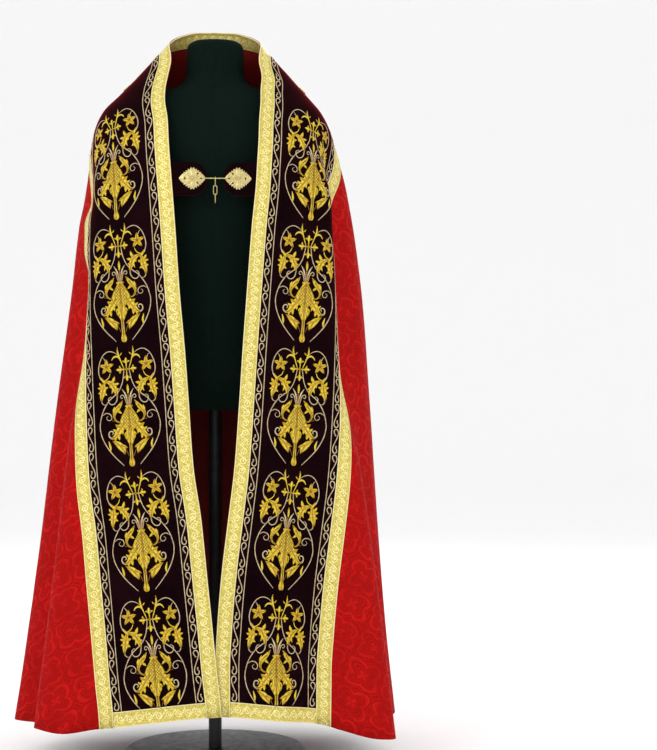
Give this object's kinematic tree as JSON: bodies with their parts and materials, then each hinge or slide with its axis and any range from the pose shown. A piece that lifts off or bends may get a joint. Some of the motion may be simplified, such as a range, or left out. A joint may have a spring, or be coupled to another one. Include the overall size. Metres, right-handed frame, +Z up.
{
  "type": "cope vestment on dress form",
  "caption": "Long open cloak of red damask with velvet and galloon bands, fringed hood and clasp, on a limbless dress form.",
  "frame": {"origin": "middle of the underside of the stand's round base, on the floor", "axes": "+Z up, -Y towards the open front, +X the wearer's left"},
  "size_m": [0.8139, 0.56, 1.5664],
  "materials": {
    "damask": "red woven damask with a tone-on-tone pattern, satin sheen",
    "velvet": "near-black wine velvet with gold embroidery",
    "galloon": "woven metallic gold braid with a scroll pattern",
    "fringe": "twisted gold thread fringe",
    "gilt": "pale gilt, pierced and chased",
    "jersey": "dark green jersey stretched over the form",
    "steel": "black powder-coated steel"
  },
  "bodies": {
    "root": {"cope_cloth": "damask", "galloon_edge": "galloon", "galloon_outer": "galloon", "galloon_center_back": "galloon", "galloon_hem_left": "galloon", "galloon_hem_right": "galloon", "collar_facing": "galloon", "orphrey_left": "velvet", "orphrey_right": "velvet", "hood_cloth": "damask", "hood_orphrey": "velvet", "hood_galloon_left": "galloon", "hood_galloon_right": "galloon", "hood_galloon_edge": "galloon", "hood_fringe": "fringe", "clasp_tab_left": "velvet", "clasp_tab_right": "velvet", "clasp_plate_left": "gilt", "clasp_plate_right": "gilt", "clasp_bar": "gilt", "pendant_link_1": "gilt", "pendant_link_2": "gilt", "pendant_link_3": "gilt", "form_torso": "jersey", "stand_pole": "steel", "stand_base": "steel"}
  },
  "joints": []
}
